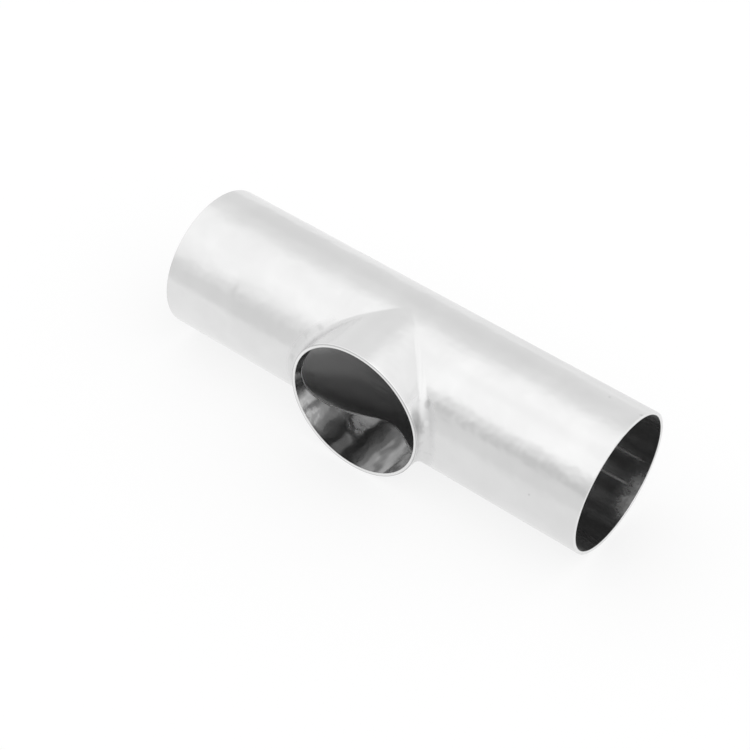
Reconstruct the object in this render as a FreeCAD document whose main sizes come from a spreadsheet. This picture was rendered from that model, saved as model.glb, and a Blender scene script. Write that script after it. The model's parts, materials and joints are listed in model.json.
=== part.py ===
"""Sanitary weld tee with a short equal outlet, drawn for 51 mm thin-wall tube.

The run lies along X, the outlet leaves it along -Y and Z points up.
The origin is the point where the two tube axes cross. All sizes are millimetres.

The tee is one wall: an outer form less a bore form. Outside, run and outlet are equal
cylinders that meet in a mitred saddle, and a ball that rolls along the saddle rounds its
corner. Inside, the outlet's bore narrows towards the run, because the collar is thickest
at its root, and it meets the run's bore in a rounded crease.
"""
import FreeCAD
import Part

import math
import os

OUT_DIR = "parts"
SHEET = "Sizes"

# The driving dimensions: name, value, meaning
SIZES = [
    ("tube_outside_diameter", 51.0, "outside diameter of the run and of the outlet"),
    ("tube_wall", 1.2, "wall of the tube that the tee is welded to"),
    ("run_length", 167.0, "from face to face along the run"),
    ("outlet_land", 0.3, "straight neck between the crotch blend and the outlet face"),
    ("crotch_radius", 3.0, "outside blend between run and outlet"),
    ("outlet_bore_taper", 0.036, "how far the outlet's bore narrows per mm towards the run"),
    ("crease_radius", 1.2, "inside rounding where the two bores meet"),
    ("edge_break", 0.2, "bevel that deburrs the edges of the three weld faces"),
    ("bore_overrun", 2.0, "how far the bore form runs past the faces that it opens"),
]

# Sizes that follow from the driving dimensions, as expressions on the sheet
OUTSIDE_RADIUS = f"({SHEET}.tube_outside_diameter / 2)"
BORE_RADIUS = f"({SHEET}.tube_outside_diameter / 2 - {SHEET}.tube_wall)"
OUTLET_REACH = f"({OUTSIDE_RADIUS} + {SHEET}.crotch_radius + {SHEET}.outlet_land)"

X_AXIS = FreeCAD.Vector(1, 0, 0)
Y_AXIS = FreeCAD.Vector(0, 1, 0)
Z_AXIS = FreeCAD.Vector(0, 0, 1)
# Seen from above, the right saddle runs halfway between the run and the outlet
MITRE = FreeCAD.Vector(1, -1, 0).normalize()
ACROSS = MITRE.cross(Z_AXIS)


def add_sheet(doc):
    """Put the driving dimensions into a spreadsheet, one named cell each."""
    sheet = doc.addObject("Spreadsheet::Sheet", SHEET)
    for row, (alias, value, meaning) in enumerate(SIZES, start=1):
        sheet.set(f"A{row}", alias)
        sheet.set(f"B{row}", str(value))
        sheet.set(f"C{row}", meaning)
        sheet.setAlias(f"B{row}", alias)
    doc.recompute()
    return sheet


def add_primitive(doc, kind, name, axes, sizes):
    """Add a primitive turned to the given directions of its own X, Y and Z.

    sizes binds properties, places too, to expressions on the sheet.
    """
    primitive = doc.addObject(kind, name)
    primitive.Placement.Rotation = FreeCAD.Rotation(*axes, "XYZ")
    for prop, expression in sizes.items():
        primitive.setExpression(prop, expression)
    return primitive


def add_boolean(doc, kind, name, base, tool):
    """Add a Part::Cut or Part::Common of two solids."""
    result = doc.addObject(kind, name)
    result.Base = base
    result.Tool = tool
    return result


def add_sector(doc, name, reach, start, sweep):
    """Add an upright sector about Z that opens from the angle start through sweep."""
    sector = doc.addObject("Part::Cylinder", name)
    sector.Placement.Rotation = FreeCAD.Rotation(Z_AXIS, 1.0)
    sector.setExpression("Radius", reach)
    sector.setExpression("Height", reach)
    sector.setExpression("Angle", sweep)
    sector.setExpression("Placement.Base.z", "-Height / 2")
    sector.setExpression("Placement.Rotation.Angle", start)
    return sector


def add_ball_groove(doc, radius, blend):
    """Sweep the track of a ball that rolls along the right saddle and touches both tubes."""
    track = add_primitive(
        doc, "Part::Ellipse", "outer_ball_track", (-MITRE, Z_AXIS, -ACROSS),
        {
            "MajorRadius": f"({radius} + {blend}) * sqrt(2)",
            "MinorRadius": f"{radius} + {blend}",
        },
    )
    track.Angle1 = 90
    track.Angle2 = 270
    ball = add_primitive(
        doc, "Part::Circle", "outer_ball", (Z_AXIS, -ACROSS, MITRE),
        {"Radius": blend, "Placement.Base.z": f"{radius} + {blend}"},
    )
    groove = doc.addObject("Part::Sweep", "outer_ball_groove")
    groove.Sections = [ball]
    groove.Spine = (track, ["Edge1"])
    groove.Solid = True
    groove.Frenet = True
    return groove


def add_web(doc, radius, blend, corner, reach):
    """Fill the right corner between the tubes, out to a skin inside the ball's track."""
    flare = f"(1 + {blend} / (2 * {radius}))"
    profile = add_primitive(
        doc, "Part::Ellipse", "outer_web_profile", (MITRE, Z_AXIS, ACROSS),
        {
            "MajorRadius": f"(2 * {radius} + {blend}) / sqrt(2) * {flare}",
            "MinorRadius": radius,
        },
    )
    skin = doc.addObject("Part::Extrusion", "outer_web_skin")
    skin.Base = profile
    skin.DirMode = "Custom"
    skin.Dir = ACROSS
    skin.Solid = True
    skin.Symmetric = True
    skin.setExpression("LengthFwd", f"2 * {reach}")
    return add_boolean(doc, "Part::Common", "outer_web", corner, skin)


def add_outer_form(doc):
    """Build the outer form: two equal cylinders with a ball-rolled saddle.

    The ball touches the run in an upright plane through the origin, and the outlet in
    another. Those planes part the form into run, outlet and two corner blends, so every
    join between them is flat and the curved skins meet edge to edge.
    """
    radius = OUTSIDE_RADIUS
    blend = f"{SHEET}.crotch_radius"
    reach = f"(4 * ({OUTLET_REACH} + {radius} + {blend}))"
    run_plane = f"atan(({radius} + {blend}) / {radius})"
    outlet_plane = f"atan({radius} / ({radius} + {blend}))"

    run_tube = add_primitive(
        doc, "Part::Cylinder", "outer_run_tube", (-Z_AXIS, Y_AXIS, X_AXIS),
        {"Radius": radius, "Height": f"{SHEET}.run_length", "Placement.Base.x": "-Height / 2"},
    )
    notch = add_sector(
        doc, "outer_run_notch", reach, f"-90 deg - {run_plane}", f"2 * {run_plane}"
    )
    run = add_boolean(doc, "Part::Cut", "outer_run", run_tube, notch)

    outlet_tube = add_primitive(
        doc, "Part::Cylinder", "outer_outlet_tube", (X_AXIS, Z_AXIS, -Y_AXIS),
        {"Radius": radius, "Height": OUTLET_REACH},
    )
    keep = add_sector(
        doc, "outer_outlet_sector", reach, f"-90 deg - {outlet_plane}", f"2 * {outlet_plane}"
    )
    neck = add_boolean(doc, "Part::Common", "outer_outlet", outlet_tube, keep)

    corner = add_sector(
        doc, "outer_corner_sector", reach,
        f"-90 deg + {outlet_plane}", f"{run_plane} - {outlet_plane}",
    )
    web = add_web(doc, radius, blend, corner, reach)
    groove = add_ball_groove(doc, radius, blend)
    right_blend = add_boolean(doc, "Part::Cut", "outer_right_blend", web, groove)
    left_blend = doc.addObject("Part::Mirroring", "outer_left_blend")
    left_blend.Source = right_blend
    left_blend.Normal = X_AXIS

    form = doc.addObject("Part::MultiFuse", "outer_form")
    form.Shapes = [run, neck, right_blend, left_blend]
    form.Refine = True
    return form


def is_crease(edge, sizes):
    """Tell whether an edge runs along the run's bore and stays as near as the outlet."""
    bore_radius = sizes.tube_outside_diameter / 2 - sizes.tube_wall
    middle = edge.valueAt((edge.FirstParameter + edge.LastParameter) / 2)
    on_run_bore = abs(math.hypot(middle.y, middle.z) - bore_radius) < 1e-3
    box = edge.BoundBox
    return on_run_bore and max(box.XMax, -box.XMin) < bore_radius


def add_bore_form(doc, sizes):
    """Build the bore: a straight run, a tapered outlet and the rounded crease between them."""
    taper = f"{SHEET}.outlet_bore_taper"
    run = add_primitive(
        doc, "Part::Cylinder", "run_bore", (-Z_AXIS, Y_AXIS, X_AXIS),
        {
            "Radius": BORE_RADIUS,
            "Height": f"{SHEET}.run_length + 2 * {SHEET}.bore_overrun",
            "Placement.Base.x": "-Height / 2",
        },
    )
    outlet = add_primitive(
        doc, "Part::Cone", "outlet_bore", (X_AXIS, Z_AXIS, -Y_AXIS),
        {
            "Radius1": f"{BORE_RADIUS} - {OUTLET_REACH} * {taper}",
            "Radius2": f"{BORE_RADIUS} + {SHEET}.bore_overrun * {taper}",
            "Height": f"{OUTLET_REACH} + {SHEET}.bore_overrun",
        },
    )
    sharp = doc.addObject("Part::MultiFuse", "sharp_bore")
    sharp.Shapes = [run, outlet]
    sharp.Refine = True
    doc.recompute()
    form = doc.addObject("Part::Fillet", "bore_form")
    form.Base = sharp
    form.Edges = [
        (number, sizes.crease_radius, sizes.crease_radius)
        for number, edge in enumerate(sharp.Shape.Edges, start=1)
        if is_crease(edge, sizes)
    ]
    return form


def is_mouth_edge(edge, sizes):
    """Tell whether an edge is a full circle in one of the three weld faces."""
    if not isinstance(edge.Curve, Part.Circle):
        return False
    centre = edge.Curve.Center
    on_run_face = abs(abs(centre.x) - sizes.run_length / 2) < 1e-4
    outlet_reach = sizes.tube_outside_diameter / 2 + sizes.crotch_radius + sizes.outlet_land
    on_outlet_face = abs(-centre.y - outlet_reach) < 1e-4
    return on_run_face or on_outlet_face


def add_mouth_breaks(doc, tee, sizes):
    """Bevel the inner and outer edge of each weld face by the small edge break."""
    doc.recompute()
    deburred = doc.addObject("Part::Chamfer", "deburred_tee")
    deburred.Base = tee
    deburred.Edges = [
        (number, sizes.edge_break, sizes.edge_break)
        for number, edge in enumerate(tee.Shape.Edges, start=1)
        if is_mouth_edge(edge, sizes)
    ]
    return deburred


def add_sanitary_tee(doc, sizes):
    """Build the tee: outer form, less the bore form, with broken mouth edges."""
    outer = add_outer_form(doc)
    bore = add_bore_form(doc, sizes)
    wall = add_boolean(doc, "Part::Cut", "tee_wall", outer, bore)
    tee = add_mouth_breaks(doc, wall, sizes)
    tee.Label = "sanitary_tee"
    return tee


def equal_tee_volume(radius, length, outlet):
    """Volume of two equal crossing cylinders before any blend, as a formula."""
    run = math.pi * radius**2 * length
    neck = math.pi * radius**2 * outlet
    shared = 8 * radius**3 / 3
    return run + neck - shared


def collar_volume(radius, outlet, taper):
    """Extra wall that the taper leaves in the outlet, as a formula for a thin wall."""
    mean_square_depth = outlet**2 - 4 * outlet * radius / math.pi + radius**2 / 2
    return math.pi * radius * taper * mean_square_depth


def check_tee(doc, tee, sizes):
    """Stop the build if a feature failed or the wall's volume isn't what it should be."""
    for item in doc.Objects:
        if "Invalid" in item.State or "Error" in item.State:
            raise RuntimeError(f"{item.Label} is in state {item.State}")
    shape = tee.Shape
    if shape.isNull() or not shape.isValid() or len(shape.Solids) != 1:
        raise RuntimeError(f"{tee.Label} is not one valid solid")

    outside = sizes.tube_outside_diameter / 2
    reach = outside + sizes.crotch_radius + sizes.outlet_land
    bore = outside - sizes.tube_wall
    sharp = equal_tee_volume(outside, sizes.run_length, reach)
    sharp -= equal_tee_volume(bore, sizes.run_length, reach)
    sharp += collar_volume(bore, reach, sizes.outlet_bore_taper)
    # The blends and edge breaks change the sharp wall's volume by a few per cent at most
    if not 0.95 * sharp < shape.Volume < 1.10 * sharp:
        raise RuntimeError(f"volume {shape.Volume:.0f} mm3, expected about {sharp:.0f} mm3")
    print(f"{tee.Label}: {shape.Volume:.1f} mm3, sharp wall {sharp:.1f} mm3, "
          f"{len(shape.Faces)} faces, centre of mass {shape.Solids[0].CenterOfMass}")


def main():
    """Build the tee and write its solid."""
    os.makedirs(OUT_DIR, exist_ok=True)
    doc = FreeCAD.newDocument("sanitary_tee")
    sizes = add_sheet(doc)
    tee = add_sanitary_tee(doc, sizes)
    doc.recompute()
    check_tee(doc, tee, sizes)
    tee.Shape.Solids[0].exportStep(f"{OUT_DIR}/{tee.Label}.step")


main()
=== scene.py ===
"""Looks of a butt-weld sanitary tee in thin-wall stainless tube.

The run lies along X, the short outlet leaves it along -Y and Z points up. Lengths are metres.
The wall is modelled as two skins, outside and inside, that are bridged at the three mouths.
"""
import json
import logging
import math
from dataclasses import dataclass
from enum import Enum
from typing import Callable

import bpy
from mathutils import Matrix, Vector


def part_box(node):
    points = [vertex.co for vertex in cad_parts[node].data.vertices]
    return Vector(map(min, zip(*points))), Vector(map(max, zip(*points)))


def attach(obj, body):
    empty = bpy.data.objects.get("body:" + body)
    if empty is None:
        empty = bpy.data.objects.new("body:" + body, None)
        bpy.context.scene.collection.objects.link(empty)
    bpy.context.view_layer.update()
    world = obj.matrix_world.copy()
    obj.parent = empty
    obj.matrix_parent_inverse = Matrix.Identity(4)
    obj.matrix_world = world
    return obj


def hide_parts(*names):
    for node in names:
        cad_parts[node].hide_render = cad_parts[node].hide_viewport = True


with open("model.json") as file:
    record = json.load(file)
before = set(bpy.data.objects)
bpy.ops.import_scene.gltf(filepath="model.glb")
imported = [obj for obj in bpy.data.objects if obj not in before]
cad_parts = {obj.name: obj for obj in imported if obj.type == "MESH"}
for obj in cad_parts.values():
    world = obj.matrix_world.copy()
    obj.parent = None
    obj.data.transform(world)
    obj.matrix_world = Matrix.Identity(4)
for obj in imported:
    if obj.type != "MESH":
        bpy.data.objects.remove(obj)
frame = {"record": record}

log = logging.getLogger("sanitary_tee")

Node = bpy.types.Node
Piece = bpy.types.Object
Socket = bpy.types.NodeSocket
Span = tuple[float, float]
Triple = tuple[float, float, float]

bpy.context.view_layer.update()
MM = 0.001
NODE = "sanitary_tee"

# Places nearer than TINY are the same place, and worked-out lengths nearer than NEAR are equal.
TINY = 1e-6
NEAR = 10 * TINY

# Light Path's Glossy Depth is above these once the steel has turned a ray twice, or four times.
PAST_ONE_TURN = 1.5
PAST_THREE_TURNS = 3.5

# The ends of a mask that rises over its span, and of one that falls.
RISING = (0.0, 1.0)
FALLING = (1.0, 0.0)


class Axis(Enum):
    """The direction that a tube runs in, as the turn that lays an upright cylinder along it."""

    RUN = (0.0, math.pi / 2, 0.0)
    OUTLET = (math.pi / 2, 0.0, 0.0)


class Zone(Enum):
    """The zones of the wall, each with a finish of its own. The value is its slot."""

    OUTSIDE = 0
    RUN_BORE = 1
    OUTLET_BORE = 2
    CREASE = 3
    RIM = 4


def select_only(*pieces: Piece) -> None:
    """Select these pieces and nothing else, and make the first one active.

    Args:
        pieces: The pieces to select.
    """
    bpy.ops.object.select_all(action="DESELECT")
    for piece in pieces:
        piece.select_set(True)
    bpy.context.view_layer.objects.active = pieces[0]


def edit_faces(piece: Piece, wanted: Callable[[Vector], bool]) -> None:
    """Enter edit mode with only the wanted faces selected.

    Args:
        piece: The piece to edit.
        wanted: Tells from a face's centre whether it is selected.
    """
    select_only(piece)
    mesh = piece.data
    mesh.vertices.foreach_set("select", [False] * len(mesh.vertices))
    mesh.edges.foreach_set("select", [False] * len(mesh.edges))
    for face in mesh.polygons:
        face.select = wanted(face.center)
    bpy.ops.object.mode_set(mode="EDIT")
    bpy.ops.mesh.select_mode(type="FACE")


def edit_edges(piece: Piece, wanted: Callable[[Vector, Vector], bool]) -> None:
    """Enter edit mode with only the wanted edges selected.

    Args:
        piece: The piece to edit.
        wanted: Tells from an edge's two ends whether it is selected.
    """
    select_only(piece)
    bpy.ops.object.mode_set(mode="EDIT")
    bpy.ops.mesh.select_mode(type="EDGE")
    bpy.ops.mesh.select_all(action="DESELECT")
    bpy.ops.object.mode_set(mode="OBJECT")
    points = piece.data.vertices
    for edge in piece.data.edges:
        start, end = (points[index].co for index in edge.vertices)
        edge.select = wanted(start, end)
    bpy.ops.object.mode_set(mode="EDIT")


def leave_edit() -> None:
    """Go back to object mode."""
    bpy.ops.object.mode_set(mode="OBJECT")


def in_outlet(point: Vector) -> bool:
    """Tell whether a point is on the outlet's side of the two mitre planes."""
    return point.y < -abs(point.x) + TINY


@dataclass(frozen=True)
class TubeSkin:
    """One skin of the wall: two equal tubes that meet in a rounded saddle."""

    name: str
    radius: float
    blend: float
    half_run: float
    reach: float
    rulings: int = 256
    blend_steps: int = 12
    margin: float = 1.08
    cut_threshold: float = TINY / 100

    @property
    def spread(self) -> float:
        """How much steeper than the mitre planes the planes stand that bound the blend."""
        return 1 + self.margin * self.blend / self.radius

    def build(self) -> Piece:
        """Model the skin.

        Returns:
            The skin, open at its three mouths, with its normals away from the tubes' axes.
        """
        spread = self.spread
        run = self._tube(Axis.RUN, 2 * self.half_run, 0.0)
        self._trim(run, ((1, spread, 0), (1, -spread, 0)), in_outlet)
        outlet = self._tube(Axis.OUTLET, self.reach, -self.reach / 2)
        self._trim(
            outlet, ((spread, 1, 0), (spread, -1, 0)), lambda centre: not in_outlet(centre),
        )
        select_only(run, outlet)
        bpy.ops.object.join()
        run.name = run.data.name = self.name
        edit_faces(run, lambda centre: True)
        bpy.ops.mesh.remove_doubles(threshold=TINY)
        bpy.ops.mesh.normals_make_consistent(inside=False)
        leave_edit()
        self._round_saddle(run)
        self._drop_bounds(run)
        return run

    def _tube(self, axis: Axis, length: float, middle: float) -> Piece:
        """Add an open tube.

        Args:
            axis: The direction that it runs in.
            length: Its length.
            middle: The Y of its middle.

        Returns:
            The tube, with its place in its mesh.
        """
        bpy.ops.object.select_all(action="DESELECT")
        bpy.ops.mesh.primitive_cylinder_add(
            vertices=self.rulings, radius=self.radius, depth=length,
            end_fill_type="NOTHING", location=(0, middle, 0), rotation=axis.value,
        )
        tube = bpy.context.object
        bpy.ops.object.transform_apply(location=True, rotation=True, scale=True)
        return tube

    def _trim(self, tube: Piece, bounds: tuple[Triple, ...],
              waste: Callable[[Vector], bool]) -> None:
        """Cut a tube's front half along upright planes through the origin, and drop the waste.

        Args:
            tube: The tube to trim.
            bounds: The normals, of any length, of the planes beside the mitre planes.
            waste: Tells from a face's centre whether it goes.
        """
        for normal in ((1, 1, 0), (1, -1, 0)) + bounds:
            edit_faces(tube, lambda centre: centre.y < 0)
            bpy.ops.mesh.bisect(
                plane_co=(0, 0, 0), plane_no=Vector(normal).normalized(),
                threshold=self.cut_threshold,
            )
            leave_edit()
        edit_faces(tube, waste)
        bpy.ops.mesh.delete(type="FACE")
        leave_edit()

    def _round_saddle(self, skin: Piece) -> None:
        """Round the saddle as a ball that rolls along it would.

        The rulings were cut at the margin times the ball's reach, so a bevel that slides
        along them by the share of one over the margin ends on the ball's line of contact.

        Args:
            skin: The skin to round.
        """
        def on_saddle(start: Vector, end: Vector) -> bool:
            """Tell whether an edge lies on the sharp saddle."""
            mitred = all(abs(abs(p.x) - abs(p.y)) < TINY and p.y < -TINY for p in (start, end))
            return mitred and start.x * end.x > 0

        edit_edges(skin, on_saddle)
        leave_edit()
        self._reshape(skin)
        bpy.ops.object.mode_set(mode="EDIT")
        bpy.ops.mesh.bevel(
            offset_type="PERCENT", offset_pct=100 / self.margin, segments=self.blend_steps,
            profile=0.5, affect="EDGES", clamp_overlap=False,
        )
        leave_edit()

    def _reshape(self, skin: Piece) -> None:
        """Change the sharp skin before its saddle is rounded. Equal tubes stay as they are."""

    def _drop_bounds(self, skin: Piece) -> None:
        """Dissolve the cuts that bounded the blend, so that the rulings are whole again.

        Args:
            skin: The skin, with its saddle rounded.
        """
        def on_bound(start: Vector, end: Vector) -> bool:
            """Tell whether an edge lies on a cut that bounded the blend."""
            for first, second in (("x", "y"), ("y", "x")):
                if all(abs(abs(getattr(p, first)) - self.spread * abs(getattr(p, second))) < TINY
                       and p.y < -TINY for p in (start, end)):
                    return start.x * end.x > 0
            return False

        edit_edges(skin, on_bound)
        bpy.ops.mesh.dissolve_edges(use_verts=True)
        leave_edit()


@dataclass(frozen=True)
class BoreSkin(TubeSkin):
    """The inside skin. Its outlet narrows towards the run, so the saddle swings forward."""

    taper: float = 0.0
    shallowest_slide: float = 0.15

    def _meet(self, rise: float) -> Span:
        """Find where a ruling of the outlet's bore meets the run's bore.

        Args:
            rise: The sine of the ruling's angle about the outlet's axis.

        Returns:
            The depth in front of the run's axis, and the outlet's radius there.
        """
        root = self.radius - self.taper * self.reach
        square = rise * rise
        whole = 1 + self.taper**2 * square
        half = root * self.taper * square
        depth = (math.sqrt(half**2 - whole * (root**2 * square - self.radius**2)) - half) / whole
        return depth, root + self.taper * depth

    def _slides(self, rise: float) -> Span:
        """Find how far from the saddle a rolling ball touches, along the rulings.

        Args:
            rise: The sine of the outlet ruling's angle about the outlet's axis.

        Returns:
            The distance along the run's ruling and along the outlet's.
        """
        depth, radius = self._meet(rise)
        side = math.sqrt(max(0.0, 1 - rise * rise))
        on_run = Vector((0, -depth, radius * rise)).normalized()
        on_outlet = Vector((side, self.taper, rise)).normalized()
        touch = self.blend * math.tan(on_run.angle(on_outlet) / 2)
        along = on_run.cross(on_outlet).normalized()
        across_run = math.hypot(along.y, along.z)
        across_outlet = math.hypot(along.x, along.z)
        return touch / max(across_run, self.shallowest_slide), touch / across_outlet

    def _reshape(self, skin: Piece) -> None:
        """Slide the sharp skin's points to the tapered outlet and to its own saddle.

        A point keeps its ruling. The rulings of the run's front half turn about the run to
        where the outlet's rulings now meet them, and those of its back half spread evenly.

        Args:
            skin: The sharp skin of two equal tubes.
        """
        front = math.acos(self._meet(1.0)[0] / self.radius)
        for vertex in skin.data.vertices:
            x, y, z = vertex.co
            rise = max(-1.0, min(1.0, z / self.radius))
            if y > TINY:
                turn = math.pi - (math.pi - front) * (math.pi - math.atan2(abs(z), -y)) * 2 / math.pi
                vertex.co.y = -self.radius * math.cos(turn)
                vertex.co.z = math.copysign(self.radius * math.sin(turn), z)
                continue
            depth, radius = self._meet(rise)
            side = math.sqrt(1 - rise * rise)
            slide_run, slide_outlet = self._slides(rise)
            if abs(y) > abs(x) + TINY:
                at_mouth = abs(y + self.reach) < TINY
                new_depth = self.reach if at_mouth else depth + self.margin * slide_outlet
                radius += self.taper * (new_depth - depth)
                new_side = side * radius
                depth = new_depth
            elif abs(x) > abs(y) + TINY:
                at_mouth = abs(abs(x) - self.half_run) < TINY
                new_side = self.half_run if at_mouth else side * radius + self.margin * slide_run
            else:
                new_side = side * radius
            vertex.co = (math.copysign(new_side, x), -depth, radius * rise)

    def _drop_bounds(self, skin: Piece) -> None:
        """Keep the cuts that bounded the blend: they are curved here and do no harm."""


class Mixed(Enum):
    """What a Mix node mixes, as the node's data type and the type of its sockets."""

    VALUE = ("FLOAT", "VALUE")
    COLOUR = ("RGBA", "RGBA")


def grey(level: float) -> tuple[float, float, float, float]:
    """Give the grey colour of this level."""
    return (level, level, level, 1.0)


class NodeSheet:
    """A small helper that adds nodes to a tree from left to right and links them."""

    COLUMN_WIDTH = 190

    def __init__(self, tree: bpy.types.NodeTree) -> None:
        """Start on a tree, and clear it."""
        self.tree = tree
        self.tree.nodes.clear()

    def add(self, kind: str, *sources: object, **settings: object) -> Node:
        """Add a node.

        Args:
            kind: The node's type name.
            sources: A link or a plain value for each of its first inputs, in order.
            settings: Properties to set on it.

        Returns:
            The new node.
        """
        node = self.tree.nodes.new(kind)
        node.location.x = len(self.tree.nodes) * self.COLUMN_WIDTH
        for key, value in settings.items():
            setattr(node, key, value)
        for socket, source in zip(node.inputs, sources):
            self.feed(socket, source)
        return node

    def link(self, source: Socket, target: Socket) -> None:
        """Link an output to an input."""
        self.tree.links.new(source, target)

    def feed(self, socket: Socket, source: object) -> None:
        """Give an input a link or a plain value.

        Args:
            socket: The input.
            source: An output socket, or the value itself.
        """
        if isinstance(source, Socket):
            self.link(source, socket)
        else:
            socket.default_value = source

    def math(self, operation: str, *sources: object, clamp: bool = False) -> Socket:
        """Work something out from links or plain values, and maybe keep it between 0 and 1."""
        node = self.add("ShaderNodeMath", *sources, operation=operation, use_clamp=clamp)
        return node.outputs[0]

    def product(self, first: Socket, *others: object) -> Socket:
        """Multiply a value by others, one after another."""
        for other in others:
            first = self.math("MULTIPLY", first, other)
        return first

    def raised(self, value: Socket, mask: Socket, amount: float) -> Socket:
        """Raise a value by an amount where a mask is, or leave it if the amount is zero."""
        return self.math("ADD", value, self.product(mask, amount)) if amount else value

    def vector(self, operation: str, *sources: object) -> Node:
        """Work something out from vectors, and give back the node."""
        return self.add("ShaderNodeVectorMath", *sources, operation=operation)

    def apart(self, vector: Socket) -> list[Socket]:
        """Take a vector apart, and give back its X, Y and Z."""
        return list(self.add("ShaderNodeSeparateXYZ", vector).outputs)

    def span(self, value: object, source: Span, target: tuple[object, float] = RISING,
             smooth: bool = True) -> Socket:
        """Map a value from one span to another.

        Args:
            value: The value's link.
            source: The span that it comes in.
            target: The span that it leaves in.
            smooth: Whether it eases in and out.

        Returns:
            The result's socket.
        """
        easing = "SMOOTHSTEP" if smooth else "LINEAR"
        node = self.add("ShaderNodeMapRange", value, *source, *target, interpolation_type=easing)
        return node.outputs["Result"]

    def noise(self, place: Socket, scale: object, detail: object,
              roughness: float = 0.5) -> Socket:
        """Add a noise and give back its value.

        Args:
            place: The link of the place where it is read.
            scale: How fine it is.
            detail: How many finer layers it has.
            roughness: How strong those layers are.

        Returns:
            The value's socket, about 0.5.
        """
        node = self.add("ShaderNodeTexNoise")
        self.link(place, node.inputs["Vector"])
        self.feed(node.inputs["Scale"], scale)
        self.feed(node.inputs["Detail"], detail)
        self.feed(node.inputs["Roughness"], roughness)
        return node.outputs["Fac"]

    def mix(self, mixed: Mixed, factor: Socket, first: object, second: object) -> Socket:
        """Mix two values or colours.

        Args:
            mixed: What they are.
            factor: The second one's share, as a link.
            first: The first one, or its link.
            second: The second one, or its link.

        Returns:
            The result's socket.
        """
        data_type, socket_type = mixed.value
        node = self.add("ShaderNodeMix", data_type=data_type)
        self.link(factor, node.inputs["Factor"])
        ends = (s for s in node.inputs if s.name in ("A", "B") and s.type == socket_type)
        for socket, value in zip(ends, (first, second)):
            self.feed(socket, value)
        return next(s for s in node.outputs if s.type == socket_type)

    def mix_shaders(self, factor: Socket, first: Node, second: Node) -> Socket:
        """Mix two shaders by the second one's share."""
        ends = (first.outputs[0], second.outputs[0])
        return self.add("ShaderNodeMixShader", factor, *ends).outputs[0]

    def grey(self, value: Socket) -> Socket:
        """Make a grey colour from a value."""
        return self.add("ShaderNodeCombineColor", value, value, value).outputs["Color"]

    def group(self, name: str, place: Socket) -> Node:
        """Add the shared node group of this name, and give it the place that it works on."""
        return self.add("ShaderNodeGroup", place, node_tree=bpy.data.node_groups[name])


def new_group(
    name: str, outputs: tuple[str, ...], **inputs: object,
) -> tuple[NodeSheet, bpy.types.NodeOutputs, bpy.types.NodeInputs]:
    """Make an empty shader node group that works on a place.

    Args:
        name: The group's name.
        outputs: The names of its outputs, which are all values.
        inputs: Its further inputs, each with a number or a vector as its default.

    Returns:
        The group's sheet, the sockets that feed it and those that it puts out to.
    """
    tree = bpy.data.node_groups.new(name, "ShaderNodeTree")
    tree.interface.new_socket("place", in_out="INPUT", socket_type="NodeSocketVector")
    for key, default in inputs.items():
        kind = "NodeSocketFloat" if isinstance(default, float) else "NodeSocketVector"
        socket = tree.interface.new_socket(key, in_out="INPUT", socket_type=kind)
        socket.default_value = default
    for key in outputs:
        tree.interface.new_socket(key, in_out="OUTPUT", socket_type="NodeSocketFloat")
    sheet = NodeSheet(tree)
    return sheet, sheet.add("NodeGroupInput").outputs, sheet.add("NodeGroupOutput").inputs


@dataclass(frozen=True)
class PolishGrain:
    """The grain that a polishing belt leaves: fine lines in one direction, and slow waves."""

    line_detail: float = 4.0
    line_roughness: float = 0.65

    def make(self) -> None:
        """Make the group. It puts out the lines and the waves, both about 0.5."""
        sheet, entry, leave = new_group(
            "polish_grain", ("lines", "waves"), line_stretch=(1.0, 1.0, 1.0),
            wave_stretch=(1.0, 1.0, 1.0), wave_scale=1.0, wave_detail=1.0,
        )
        place = entry["place"]
        drawn = sheet.vector("MULTIPLY", place, entry["line_stretch"]).outputs[0]
        lines = sheet.noise(drawn, scale=1.0, detail=self.line_detail,
                            roughness=self.line_roughness)
        drawn = sheet.vector("MULTIPLY", place, entry["wave_stretch"]).outputs[0]
        waves = sheet.noise(drawn, entry["wave_scale"], entry["wave_detail"])
        sheet.link(lines, leave["lines"])
        sheet.link(waves, leave["waves"])


@dataclass(frozen=True)
class CrotchWork:
    """The strip beside the outlet, low down, where the saddle was dressed by hand.

    A place lies aside by its distance along the run past the mitre plane. The strip starts
    and stops over two spans of that, and it fades out higher up and towards the back.
    """

    starts: Span = (-9.0 * MM, -4.0 * MM)
    stops: Span = (3.0 * MM, 6.0 * MM)
    fades_up: Span = (13.0 * MM, 21.0 * MM)
    rise_to_left: float = 0.12
    fades_back: Span = (-12.0 * MM, -8.0 * MM)
    mark_scale: float = 330.0
    mark_detail: float = 2.0
    mark_span: Span = (0.54, 0.7)

    def make(self) -> None:
        """Make the group. It puts out a mask of the strip and one of the marks in it."""
        sheet, entry, leave = new_group("crotch_work", ("strip", "marks"))
        place = entry["place"]
        x, y, z = sheet.apart(place)
        aside = sheet.math("ADD", sheet.math("ABSOLUTE", x), y)
        height = sheet.raised(sheet.math("ABSOLUTE", z), x, self.rise_to_left)
        strip = sheet.product(
            sheet.span(aside, self.starts), sheet.span(aside, self.stops, FALLING),
            sheet.span(height, self.fades_up, FALLING), sheet.span(y, self.fades_back, FALLING),
        )
        blotches = sheet.noise(place, self.mark_scale, self.mark_detail)
        sheet.link(strip, leave["strip"])
        marks = sheet.product(strip, sheet.span(blotches, self.mark_span))
        sheet.link(marks, leave["marks"])


@dataclass(frozen=True)
class BoreLine:
    """A faint line that runs along the bore."""

    angle_deg: float
    half_width_deg: float
    starts: Span


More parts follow.
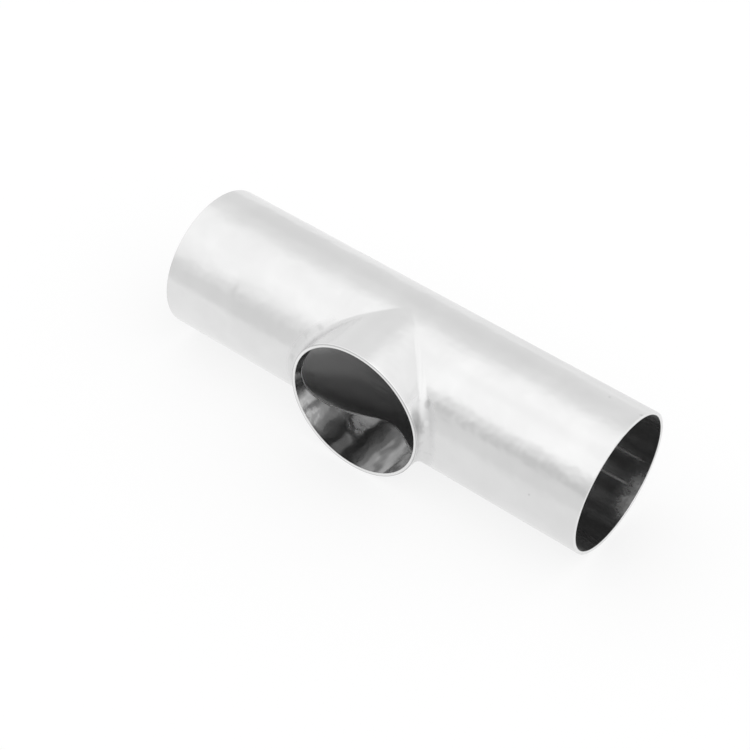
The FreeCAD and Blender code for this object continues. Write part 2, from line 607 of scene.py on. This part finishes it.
@dataclass(frozen=True)
class BoreWear:
    """The wear inside the run's bore: a scuff low down at the mouths, and lines at the right.

    Angles are about the run, from the back wall upwards.
    """

    scuff_starts: Span = (75.0 * MM, 84.0 * MM)
    scuff_low_deg: Span = (-84.0, -62.0)
    scuff_high_deg: Span = (-52.0, -16.0)
    edge_scale: float = 180.0
    edge_detail: float = 1.0
    edge_swing: float = 6.0 * MM
    grit_scale: float = 900.0
    grit_detail: float = 2.0
    grit_span: Span = (0.4, 0.62)
    grit_strength: Span = (0.65, 0.95)
    lines: tuple[BoreLine, ...] = (
        BoreLine(-24.6, 1.5, (60.0 * MM, 68.0 * MM)),
        BoreLine(-46.6, 1.4, (58.0 * MM, 66.0 * MM)),
    )
    line_core: float = 0.2
    line_strength: float = 0.75
    line_stops: Span = (77.0 * MM, 83.0 * MM)

    def make(self) -> None:
        """Make the group. It puts out a mask of the wear."""
        sheet, entry, leave = new_group("bore_wear", ("wear",))
        place = entry["place"]
        x, y, z = sheet.apart(place)
        angle = sheet.math("ARCTAN2", z, y)
        uneven = sheet.noise(place, self.edge_scale, self.edge_detail)
        swing = sheet.product(sheet.math("SUBTRACT", uneven, 0.5), self.edge_swing)
        reach = sheet.math("ADD", sheet.math("ABSOLUTE", x), swing)
        grit = sheet.noise(place, self.grit_scale, self.grit_detail)
        low, high = (tuple(map(math.radians, span))
                     for span in (self.scuff_low_deg, self.scuff_high_deg))
        wear = sheet.product(
            sheet.span(reach, self.scuff_starts), sheet.span(angle, low),
            sheet.span(angle, high, FALLING), sheet.span(grit, self.grit_span, self.grit_strength),
        )
        for line in self.lines:
            off = sheet.math("SUBTRACT", angle, math.radians(line.angle_deg))
            width = math.radians(line.half_width_deg)
            mark = sheet.product(
                sheet.span(sheet.math("ABSOLUTE", off), (self.line_core * width, width),
                           (self.line_strength, 0.0)),
                sheet.span(x, line.starts), sheet.span(x, self.line_stops, FALLING),
            )
            wear = sheet.math("MAXIMUM", wear, mark)
        sheet.link(wear, leave["wear"])


@dataclass(frozen=True)
class PaintedMouthEdges:
    """The edges of the mouths: a fine line of painted shade round each rim, and a lip of painted
    highlight behind the outlet's.

    On the run's rims the painted line shows only low down.
    """

    line_radius: Span = (25.1 * MM, 25.2 * MM)
    outlet_rim: float = -28.0 * MM
    run_rim: float = 83.0 * MM
    fades_up: Span = (-4.0 * MM, 4.0 * MM)
    fades_front: Span = (-12.0 * MM, -4.0 * MM)
    lip: Span = (-28.4 * MM, -28.0 * MM)

    def make(self) -> None:
        """Make the group. It puts out a mask of the line and one of the lip."""
        sheet, entry, leave = new_group("painted_mouth_edges", ("edge", "lip"))
        x, y, z = sheet.apart(entry["place"])

        def outer_edge(aside: Socket) -> Socket:
            """Find a rim's outer edge by how far this and Z lie from the tube's axis."""
            squares = sheet.math("ADD", sheet.product(aside, aside), sheet.product(z, z))
            return sheet.span(sheet.math("SQRT", squares), self.line_radius)

        at_end = sheet.math("GREATER_THAN", sheet.math("ABSOLUTE", x), self.run_rim)
        low = sheet.product(sheet.span(z, self.fades_up, FALLING), sheet.span(y, self.fades_front))
        on_run = sheet.product(outer_edge(y), low, at_end)
        on_outlet = sheet.product(outer_edge(x), sheet.math("LESS_THAN", y, self.outlet_rim))
        sheet.link(sheet.math("ADD", on_outlet, on_run, clamp=True), leave["edge"])
        sheet.link(sheet.span(y, self.lip, FALLING), leave["lip"])


@dataclass(frozen=True)
class PitOrPatchShape:
    """The shape that all pits and painted patches share: full in the middle, fading out, broken up
    by grit.
    """

    fade: Span = (0.4, 1.0)
    grit_scale: float = 450.0
    grit_detail: float = 3.0
    grit_span: Span = (0.42, 0.58)

    def make(self) -> None:
        """Make the group. It puts out a mask of the spot."""
        sheet, entry, leave = new_group(
            "pit_or_patch", ("mask",), middle=(0.0, 0.0, 0.0), size=(1.0, 1.0, 1.0), broken=0.0,
        )
        place = entry["place"]
        shift = sheet.vector("SUBTRACT", place, entry["middle"]).outputs[0]
        share = sheet.vector("DIVIDE", shift, entry["size"]).outputs[0]
        away = sheet.vector("LENGTH", share).outputs["Value"]
        grit = sheet.noise(place, self.grit_scale, self.grit_detail)
        least = sheet.math("SUBTRACT", 1.0, entry["broken"])
        mask = sheet.product(
            sheet.span(away, self.fade, FALLING),
            sheet.span(grit, self.grit_span, (least, 1.0)),
        )
        sheet.link(mask, leave["mask"])


@dataclass(frozen=True)
class PitOrPaintedPatch:
    """A spot on the steel: its middle and half sizes, and how it differs from the steel.

    Some spots are real pits and a smudge, the others are patches of painted shade and painted
    highlight.
    Below zero, darker means lighter. Broken is the share that the grit may take out.
    """

    middle_mm: Triple
    size_mm: Triple
    darker: float = 0.12
    broken: float = 0.0
    rougher: float = 0.0

    def mask(self, sheet: NodeSheet, place: Socket) -> Socket:
        """Add a mask that is one in the spot.

        Args:
            sheet: The material's sheet.
            place: The place in object coordinates.

        Returns:
            The mask.
        """
        node = sheet.group("pit_or_patch", place)
        node.inputs["middle"].default_value = Vector(self.middle_mm) * MM
        node.inputs["size"].default_value = Vector(self.size_mm) * MM
        node.inputs["broken"].default_value = self.broken
        return node.outputs["mask"]


@dataclass(frozen=True)
class Finish:
    """A steel finish: how bright, how rough and how lined a surface is."""

    name: str
    shade: float
    shade_change: float
    roughness: float
    roughness_change: float
    line_stretch: Triple
    line_depth: float
    wave_scale: float
    wave_detail: float
    wave_depth: float
    wave_stretch: Triple = (1.0, 1.0, 1.0)
    grain_span: Span = (0.3, 0.7)
    deep_glow: float = 0.0
    dressed_roughness: float = 0.0
    mark_shade: float = 0.0
    pits_and_painted_patches: tuple[PitOrPaintedPatch, ...] = ()
    painted_lip_highlight: float = 0.0
    painted_edge_shade: float = 0.0
    wear_roughness: float = 0.0
    wear_shade: float = 0.0

    def make(self) -> None:
        """Make the material, under the finish's name."""
        material = bpy.data.materials.new(self.name)
        material.use_nodes = True
        sheet = NodeSheet(material.node_tree)
        place = sheet.add("ShaderNodeTexCoord").outputs["Object"]
        polish = sheet.group("polish_grain", place)
        for key in ("line_stretch", "wave_stretch", "wave_scale", "wave_detail"):
            polish.inputs[key].default_value = getattr(self, key)
        shade = sheet.span(
            polish.outputs["waves"], self.grain_span,
            (self.shade - self.shade_change, self.shade + self.shade_change),
        )
        rough = sheet.span(
            polish.outputs["lines"], self.grain_span,
            (self.roughness - self.roughness_change, self.roughness + self.roughness_change),
        )
        shade, rough = self._mark(sheet, place, shade, rough)

        shader = sheet.add("ShaderNodeBsdfPrincipled")
        shader.inputs["Metallic"].default_value = 1.0
        sheet.link(sheet.grey(shade), shader.inputs["Base Color"])
        sheet.link(rough, shader.inputs["Roughness"])
        sheet.link(self._normal(sheet, polish), shader.inputs["Normal"])
        # Painted light: where a ray has been turned four times the steel glows, standing in for the
        # light that further turns would bring.
        if self.deep_glow:
            rays = sheet.add("ShaderNodeLightPath")
            deep = sheet.math("GREATER_THAN", rays.outputs["Glossy Depth"], PAST_THREE_TURNS)
            shader.inputs["Emission Color"].default_value = grey(1.0)
            sheet.link(sheet.product(deep, self.deep_glow), shader.inputs["Emission Strength"])
        sheet.add("ShaderNodeOutputMaterial", shader.outputs["BSDF"])

    def _mark(self, sheet: NodeSheet, place: Socket, shade: Socket,
              rough: Socket) -> tuple[Socket, Socket]:
        """Add the marks that work and wear have left, and the painted shade and painted highlights:
        patches, the rims' edge line and the outlet's lip.

        Args:
            sheet: The material's sheet.
            place: The place in object coordinates.
            shade: The shade without the marks.
            rough: The roughness without them.

        Returns:
            The shade and the roughness with the marks.
        """
        if self.dressed_roughness:
            crotch = sheet.group("crotch_work", place)
            rough = sheet.raised(rough, crotch.outputs["strip"], self.dressed_roughness)
            shade = sheet.raised(shade, crotch.outputs["marks"], -self.mark_shade)
        # Real pits and a smudge, and patches of painted shade and painted highlight.
        for pit_or_patch in self.pits_and_painted_patches:
            mask = pit_or_patch.mask(sheet, place)
            shade = sheet.raised(shade, mask, -pit_or_patch.darker)
            rough = sheet.raised(rough, mask, pit_or_patch.rougher)
        # Painted shade on the rims' outer edge, and a painted highlight on the lip behind the
        # outlet's mouth.
        if self.painted_lip_highlight or self.painted_edge_shade:
            mouth = sheet.group("painted_mouth_edges", place)
            shade = sheet.raised(shade, mouth.outputs["lip"], self.painted_lip_highlight)
            shade = sheet.raised(shade, mouth.outputs["edge"], -self.painted_edge_shade)
        if self.wear_roughness:
            wear = sheet.group("bore_wear", place).outputs["wear"]
            rough = sheet.raised(rough, wear, self.wear_roughness)
            shade = sheet.raised(shade, wear, self.wear_shade)
        return shade, rough

    def _normal(self, sheet: NodeSheet, polish: Node) -> Socket:
        """Add the waves and then the lines to the surface.

        Args:
            sheet: The material's sheet.
            polish: The polish grain's node.

        Returns:
            The normal.
        """
        normal = None
        for key, depth in (("waves", self.wave_depth), ("lines", self.line_depth)):
            bump = sheet.add("ShaderNodeBump")
            bump.inputs["Strength"].default_value = 1.0
            bump.inputs["Distance"].default_value = depth
            sheet.link(polish.outputs[key], bump.inputs["Height"])
            if normal:
                sheet.link(normal, bump.inputs["Normal"])
            normal = bump.outputs["Normal"]
        return normal


SATIN_OUTSIDE = Finish(
    name="satin_outside", shade=0.78, shade_change=0.018, roughness=0.18, roughness_change=0.03,
    line_stretch=(2600.0, 60.0, 60.0), line_depth=0.0012 * MM,
    wave_scale=65.0, wave_detail=3.0, wave_depth=0.6 * MM,
    dressed_roughness=0.30, mark_shade=0.07, painted_lip_highlight=0.08,
    pits_and_painted_patches=(
        # The first three are pits and a smudge. The last three are painted light at the right
        # crotch: two dark patches of painted reflection and a light patch of painted highlight.
        PitOrPaintedPatch((71.0, 8.2, 24.2), (0.6, 0.6, 0.6)),
        PitOrPaintedPatch((65.9, -25.2, 3.9), (0.5, 0.5, 0.5)),
        PitOrPaintedPatch((82.9, 7.7, 24.3), (0.9, 0.9, 0.9)),
        PitOrPaintedPatch((23.7, -21.7, 13.3), (1.4, 1.6, 2.6), 0.15),
        PitOrPaintedPatch((25.7, -24.2, 8.0), (1.2, 1.4, 1.6), -0.08),
        PitOrPaintedPatch((23.6, -26.7, 9.2), (4.2, 2.6, 8.5), 0.15),
    ),
)
DRAWN_BORE = Finish(
    name="drawn_bore", shade=0.49, shade_change=0.03, roughness=0.13, roughness_change=0.03,
    line_stretch=(40.0, 1500.0, 1500.0), line_depth=0.0015 * MM,
    wave_scale=120.0, wave_detail=1.0, wave_depth=0.1 * MM, wave_stretch=(0.03, 1.0, 1.0),
    deep_glow=0.20, wear_roughness=0.35, wear_shade=0.25,
)
FLARED_BORE = Finish(
    name="flared_bore", shade=0.53, shade_change=0.04, roughness=0.11, roughness_change=0.03,
    line_stretch=(900.0, 60.0, 900.0), line_depth=0.001 * MM,
    wave_scale=85.0, wave_detail=1.0, wave_depth=0.7 * MM, deep_glow=0.20,
    pits_and_painted_patches=(
        # All six are painted light in the outlet's bore: five light patches of painted reflection,
        # one of them rougher too, and one dark patch of painted shade.
        PitOrPaintedPatch((-18.6, -26.6, -15.4), (6.0, 6.0, 6.0), -0.40, 0.7),
        PitOrPaintedPatch((-21.4, -27.6, -11.4), (3.0, 3.0, 3.0), -0.12, 0.7),
        PitOrPaintedPatch((-13.4, -14.6, -19.8), (4.5, 4.5, 4.5), -0.40, 0.5),
        PitOrPaintedPatch((-7.9, -15.8, -22.6), (5.0, 4.0, 3.5), -0.40, 0.7, 0.3),
        PitOrPaintedPatch((8.2, -20.5, -22.6), (3.2, 6.0, 3.0), -0.20, 0.2),
        PitOrPaintedPatch((-23.7, -26.6, -4.5), (3.5, 5.0, 8.0), 0.30, 0.3),
    ),
)
# Rougher as worn, and lighter than the bores as a painted highlight along the inner crease.
WORN_HIGHLIT_CREASE = Finish(
    name="worn_highlit_crease", shade=0.88, shade_change=0.11, roughness=0.6, roughness_change=0.1,
    line_stretch=(900.0, 900.0, 900.0), line_depth=0.001 * MM,
    wave_scale=600.0, wave_detail=3.0, wave_depth=0.1 * MM, deep_glow=0.20,
)
FACED_RIM = Finish(
    name="faced_rim", shade=0.84, shade_change=0.02, roughness=0.24, roughness_change=0.04,
    line_stretch=(900.0, 900.0, 900.0), line_depth=0.001 * MM,
    wave_scale=120.0, wave_detail=2.0, wave_depth=0.01 * MM, painted_edge_shade=0.24,
)
FINISHES = (SATIN_OUTSIDE, DRAWN_BORE, FLARED_BORE, WORN_HIGHLIT_CREASE, FACED_RIM)


@dataclass(frozen=True)
class TeeWall:
    """The tee: an outside and an inside skin, joined by the rims of its three mouths."""

    outside_radius: float
    bore_radius: float
    half_run: float
    reach: float
    crotch_radius: float = 3.0 * MM
    crease_radius: float = 1.2 * MM
    outlet_bore_taper: float = 0.036
    crease_steps: int = 8
    crease_margin: float = 1.25
    crease_point: float = 4 * TINY
    edge_break: float = 0.2 * MM
    edge_steps: int = 2

    def build(self) -> Piece:
        """Model and dress the tee.

        Returns:
            The finished piece.
        """
        outside = TubeSkin(
            "outside_skin", self.outside_radius, self.crotch_radius, self.half_run, self.reach,
        ).build()
        inside = BoreSkin(
            "inside_skin", self.bore_radius, self.crease_radius, self.half_run, self.reach,
            blend_steps=self.crease_steps, margin=self.crease_margin,
            taper=self.outlet_bore_taper,
        ).build()
        edit_faces(inside, lambda centre: True)
        bpy.ops.mesh.flip_normals()
        leave_edit()
        self._fill_slots(outside, lambda centre: Zone.OUTSIDE)
        self._fill_slots(inside, self._zone_inside)
        select_only(outside, inside)
        bpy.ops.object.join()
        outside.name = outside.data.name = "tee_wall"
        self._close_rims(outside)
        self._smooth(outside)
        return outside

    def _past_bores(self, point: Vector) -> Span:
        """Measure how far a point lies outside each bore.

        Args:
            point: The point.

        Returns:
            The distance past the run's bore and past the outlet's.
        """
        outlet_radius = self.bore_radius - self.outlet_bore_taper * (self.reach + point.y)
        past_run = math.hypot(point.y, point.z) - self.bore_radius
        past_outlet = math.hypot(point.x, point.z) - outlet_radius
        return past_run, past_outlet

    def _zone_inside(self, centre: Vector) -> Zone:
        """Find the zone of a place on the inside skin.

        Args:
            centre: The place.

        Returns:
            The crease if the place lies outside both bores, and else the bore that it is in.
        """
        past_run, past_outlet = self._past_bores(centre)
        if centre.y < 0 and min(past_run, past_outlet) > NEAR:
            return Zone.CREASE
        return Zone.OUTLET_BORE if past_run > past_outlet and centre.y < 0 else Zone.RUN_BORE

    def _fill_slots(self, skin: Piece, zone_of: Callable[[Vector], Zone]) -> None:
        """Give a skin the finishes and put its faces in their zones.

        Args:
            skin: The skin.
            zone_of: Tells a face's zone from its centre.
        """
        for finish in FINISHES:
            skin.data.materials.append(bpy.data.materials[finish.name])
        for face in skin.data.polygons:
            face.material_index = zone_of(face.center).value

    def _close_rims(self, wall: Piece) -> None:
        """Bridge the two skins at each mouth and break the edges.

        Args:
            wall: The joined skins.
        """
        mouths = (
            lambda p: abs(p.x - self.half_run) < TINY,
            lambda p: abs(p.x + self.half_run) < TINY,
            lambda p: abs(p.y + self.reach) < TINY,
        )
        for at_mouth in mouths:
            edit_edges(wall, lambda start, end: at_mouth(start) and at_mouth(end))
            bpy.ops.mesh.bridge_edge_loops()
            leave_edit()

        def on_rim_circle(start: Vector, end: Vector) -> bool:
            """Tell whether an edge runs round a mouth's rim."""
            for at_mouth, flat in zip(mouths, ("yz", "yz", "xz")):
                if at_mouth(start) and at_mouth(end):
                    spans = [math.hypot(*(getattr(p, axis) for axis in flat))
                             for p in (start, end)]
                    return abs(spans[0] - spans[1]) < NEAR
            return False

        edit_edges(wall, on_rim_circle)
        bpy.ops.mesh.bevel(
            offset=self.edge_break, segments=self.edge_steps, affect="EDGES",
            clamp_overlap=False,
        )
        leave_edit()
        near = self.edge_break + TINY
        for face in wall.data.polygons:
            centre = face.center
            if abs(centre.x) > self.half_run - near or centre.y < near - self.reach:
                face.material_index = Zone.RIM.value

    def _smooth(self, wall: Piece) -> None:
        """Shade the wall smooth, with normals that the large faces lead.

        At the crease's top and bottom its rounding ends in a point, and there it stays sharp.

        Args:
            wall: The closed wall.
        """
        def at_crease_end(start: Vector, end: Vector) -> bool:
            """Tell whether an edge lies where the crease's rounding ends in a point."""
            return all(p.y < -TINY and max(map(abs, self._past_bores(p))) < self.crease_point
                       for p in (start, end))

        select_only(wall)
        bpy.ops.object.shade_smooth()
        edit_edges(wall, at_crease_end)
        bpy.ops.mesh.mark_sharp()
        leave_edit()
        select_only(wall)
        weighted = wall.modifiers.new("large_faces_lead", "WEIGHTED_NORMAL")
        weighted.mode = "FACE_AREA"
        weighted.weight = 100
        weighted.keep_sharp = True
        bpy.ops.object.modifier_apply(modifier=weighted.name)


@dataclass(frozen=True)
class ViewingAngle:
    """The camera, on a sphere about the tee and slid a little in its own plane."""

    azimuth_deg: float = 35.047
    elevation_deg: float = 44.449
    roll_deg: float = 3.545
    distance: float = 625.279 * MM
    slide_right: float = 10.384 * MM
    slide_up: float = 3.668 * MM
    lens: float = 90.499
    sensor: float = 36.0

    def build(self) -> Piece:
        """Add the camera and make it the scene's.

        Returns:
            The camera.
        """
        azimuth, elevation, roll = map(
            math.radians, (self.azimuth_deg, self.elevation_deg, self.roll_deg),
        )
        back = Vector((
            math.sin(azimuth) * math.cos(elevation),
            -math.cos(azimuth) * math.cos(elevation),
            math.sin(elevation),
        ))
        level = (-back).cross(Vector((0, 0, 1))).normalized()
        upright = level.cross(-back)
        right = math.cos(roll) * level + math.sin(roll) * upright
        up = math.cos(roll) * upright - math.sin(roll) * level
        place = back * self.distance - right * self.slide_right - up * self.slide_up

        camera = bpy.data.objects.new("camera", bpy.data.cameras.new("camera"))
        bpy.context.scene.collection.objects.link(camera)
        turn = Matrix((right, up, back)).transposed().to_4x4()
        camera.matrix_world = Matrix.Translation(place) @ turn
        camera.data.sensor_width = self.sensor
        camera.data.lens = self.lens
        camera.data.clip_start = 0.01
        camera.data.clip_end = 50.0
        bpy.context.scene.camera = camera
        return camera


@dataclass(frozen=True)
class TentZone:
    """One height in the light tent's wall, and how bright the wall is there on each side.

    The height is the turn about the run from straight up towards the outlet, in degrees.
    """

    turn_deg: float
    left: float
    right: float


@dataclass(frozen=True)
class Studio:
    """A light tent over a pale floor: a bright roof and dimmer back and front walls.

    The tent's spans are of a direction's X, Y or Z, and the floor's are of places.
    """

    floor_height: float
    zones: tuple[TentZone, ...] = (
        TentZone(-85.0, 0.86, 0.87),
        TentZone(-60.0, 0.85, 0.84),
        TentZone(-42.0, 0.91, 0.89),
        TentZone(-10.0, 1.11, 1.17),
        TentZone(2.0, 1.13, 1.21),
        TentZone(15.0, 1.15, 1.14),
        TentZone(29.0, 1.17, 1.20),
        TentZone(47.0, 1.14, 1.20),
        TentZone(60.0, 1.06, 0.88),
        TentZone(70.0, 0.95, 0.67),
        TentZone(77.0, 0.88, 0.66),
        TentZone(85.0, 0.81, 0.82),
        TentZone(97.0, 0.81, 0.82),
    )
    brightest: float = 1.25
    side_change: Span = (-0.46, -0.34)
    ends: Span = (0.55, 0.75)
    ends_height: Span = (0.18, 0.45)
    ends_low: float = 0.6
    ends_high: float = 1.2
    left_end: Span = (-0.58, -0.75)
    left_end_level: float = 0.92
    back: Span = (0.25, 0.5)
    back_right: Span = (-0.35, 0.1)
    back_right_lift: float = 1.2
    back_height: Span = (-0.02, 0.22)
    floor_diffuse: float = 0.92
    floor_seen: float = 0.96
    floor_shadow_share: float = 0.25
    floor_left: float = 0.965
    floor_right: float = 0.905
    floor_far: float = 0.82
    floor_side: Span = (-75.0 * MM, 5.0 * MM)
    floor_ends: Span = (200.0 * MM, 280.0 * MM)
    floor_ends_share: float = 0.65
    floor_fade: Span = (-160.0 * MM, -85.0 * MM)
    floor_size: float = 12.0

    def build(self) -> Piece:
        """Add the tent and its floor.

        Returns:
            The floor.
        """
        self._raise_tent()
        floor = self._lay_floor()
        bpy.context.scene.view_settings.view_transform = "Standard"
        return floor

    def _raise_tent(self) -> None:
        """Light the room with the tent, and show it white to the camera and through glass."""
        world = bpy.data.worlds.new("light_tent")
        bpy.context.scene.world = world
        world.use_nodes = True
        sheet = NodeSheet(world.node_tree)
        across, back, up = sheet.apart(sheet.add("ShaderNodeTexCoord").outputs["Generated"])
        turn = sheet.math("ARCTAN2", sheet.product(back, -1.0), up)
        height = sheet.span(turn, (-math.pi, math.pi), smooth=False)
        left = self._wall(sheet, height, [zone.left for zone in self.zones])
        right = self._wall(sheet, height, [zone.right for zone in self.zones])
        sides = sheet.mix(Mixed.COLOUR, sheet.span(across, self.side_change), left, right)
        end = grey(self.left_end_level / self.brightest)
        walls = sheet.mix(Mixed.COLOUR, sheet.span(across, self.left_end), sides, end)
        strength = self._strength(sheet, across, back, up)
        tent = sheet.add("ShaderNodeBackground", walls, strength)
        white = sheet.add("ShaderNodeBackground", grey(1.0))
        rays = sheet.add("ShaderNodeLightPath").outputs
        seen = sheet.math("ADD", rays["Is Camera Ray"], rays["Is Transmission Ray"], clamp=True)
        sheet.add("ShaderNodeOutputWorld", sheet.mix_shaders(seen, tent, white))

    def _strength(self, sheet: NodeSheet, across: Socket, back: Socket, up: Socket) -> Socket:
        """Lift the back wall on the right, and set off the ends for light deep in the tube.

        Past the run's two ends the tent is dim low down and bright higher up. Only rays that
        the steel has turned twice see that.

        Args:
            sheet: The world's sheet.
            across: How far the direction points to the right.
            back: How far it points to the back.
            up: How far it points up.

        Returns:
            The tent's strength.
        """
        right = sheet.span(across, self.back_right, (0.0, self.back_right_lift - 1))
        behind = sheet.product(sheet.span(back, self.back), sheet.span(up, self.back_height))
        lift = sheet.math("ADD", sheet.product(right, behind), 1.0)
        plain = sheet.product(lift, self.brightest)
        at_ends = sheet.span(sheet.math("ABSOLUTE", across), self.ends)
        end_level = sheet.span(
            up, self.ends_height,
            (self.ends_low * self.brightest, self.ends_high * self.brightest),
        )
        depth = sheet.add("ShaderNodeLightPath").outputs["Glossy Depth"]
        turned_twice = sheet.math("GREATER_THAN", depth, PAST_ONE_TURN)
        return sheet.mix(Mixed.VALUE, sheet.product(at_ends, turned_twice), plain, end_level)

    def _wall(self, sheet: NodeSheet, height: Socket, levels: list[float]) -> Socket:
        """Add the brightness of one side of the tent.

        Args:
            sheet: The world's sheet.
            height: The turn about the run, from 0 to 1 for a full turn.
            levels: How bright each zone is.

        Returns:
            The brightness, as a share of the brightest.
        """
        ramp = sheet.add("ShaderNodeValToRGB", height)
        ramp.color_ramp.interpolation = "EASE"
        stops = ramp.color_ramp.elements
        while len(stops) < len(self.zones):
            stops.new(1.0)
        for stop, zone, level in zip(stops, self.zones, levels):
            stop.position = 0.5 + zone.turn_deg / 360
            stop.color = grey(level / self.brightest)
        return ramp.outputs[0]

    def _lay_floor(self) -> Piece:
        """Lay the pale floor.

        Returns:
            The floor.
        """
        bpy.ops.object.select_all(action="DESELECT")
        bpy.ops.mesh.primitive_plane_add(size=self.floor_size, location=(0, 0, self.floor_height))
        floor = bpy.context.object
        floor.name = "floor"
        bpy.ops.object.transform_apply(location=True, rotation=True, scale=True)
        material = bpy.data.materials.new("pale_floor")
        material.use_nodes = True
        self._paint_floor(NodeSheet(material.node_tree))
        floor.data.materials.append(material)
        return floor

    def _paint_floor(self, sheet: NodeSheet) -> None:
        """Make the floor's material.

        The camera sees it near white with the tee's shadow, and the steel sees it evenly lit
        and a little dimmer further out in front.

        Args:
            sheet: The material's sheet.
        """
        rays = sheet.add("ShaderNodeLightPath").outputs
        shade = sheet.span(
            rays["Is Camera Ray"], RISING, (self.floor_diffuse, self.floor_seen), smooth=False,
        )
        lit = sheet.add("ShaderNodeBsdfDiffuse", sheet.grey(shade))

        across, back, _ = sheet.apart(sheet.add("ShaderNodeTexCoord").outputs["Object"])
        side = sheet.span(across, self.floor_side, (self.floor_left, self.floor_right))
        glow = sheet.mix(Mixed.VALUE, sheet.span(back, self.floor_fade), self.floor_far, side)
        past_ends = sheet.span(
            sheet.math("ABSOLUTE", across), self.floor_ends, (0.0, 1 - self.floor_ends_share),
        )
        turned_twice = sheet.math("GREATER_THAN", rays["Glossy Depth"], PAST_ONE_TURN)
        dimmer = sheet.math("SUBTRACT", 1.0, sheet.product(past_ends, turned_twice))
        mirrored = sheet.math(
            "ADD", rays["Is Glossy Ray"], rays["Is Transmission Ray"], clamp=True,
        )
        strength = sheet.mix(Mixed.VALUE, mirrored, 1.0, sheet.product(glow, dimmer))
        plain = sheet.add("ShaderNodeEmission", grey(1.0), strength)

        faint = sheet.product(rays["Is Camera Ray"], 1 - self.floor_shadow_share)
        share = sheet.math("ADD", mirrored, faint, clamp=True)
        sheet.add("ShaderNodeOutputMaterial", sheet.mix_shaders(share, lit, plain))


def run_bore_radius() -> float:
    """Read the bore's radius, in metres, from the record's mount named run_bore."""
    mounts = {mount["name"]: mount for mount in frame["record"]["mounts"]}
    return mounts["run_bore"]["dims"]["r_mm"] * MM


def main() -> None:
    """Build the tee, its stage and the camera."""
    logging.basicConfig(level=logging.INFO, format="%(name)s: %(message)s")
    low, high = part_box(NODE)
    for effect in (PolishGrain(), CrotchWork(), BoreWear(), PaintedMouthEdges(), PitOrPatchShape()):
        effect.make()
    for finish in FINISHES:
        finish.make()
        log.info("finish %s", finish.name)
    wall = TeeWall(
        outside_radius=high.z, bore_radius=run_bore_radius(), half_run=high.x, reach=-low.y,
    ).build()
    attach(wall, "root")
    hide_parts(NODE)
    log.info("piece %s: %d faces", wall.name, len(wall.data.polygons))
    floor = Studio(floor_height=low.z).build()
    log.info("stage %s", floor.name)
    ViewingAngle().build()


if __name__ == "__main__":
    main()
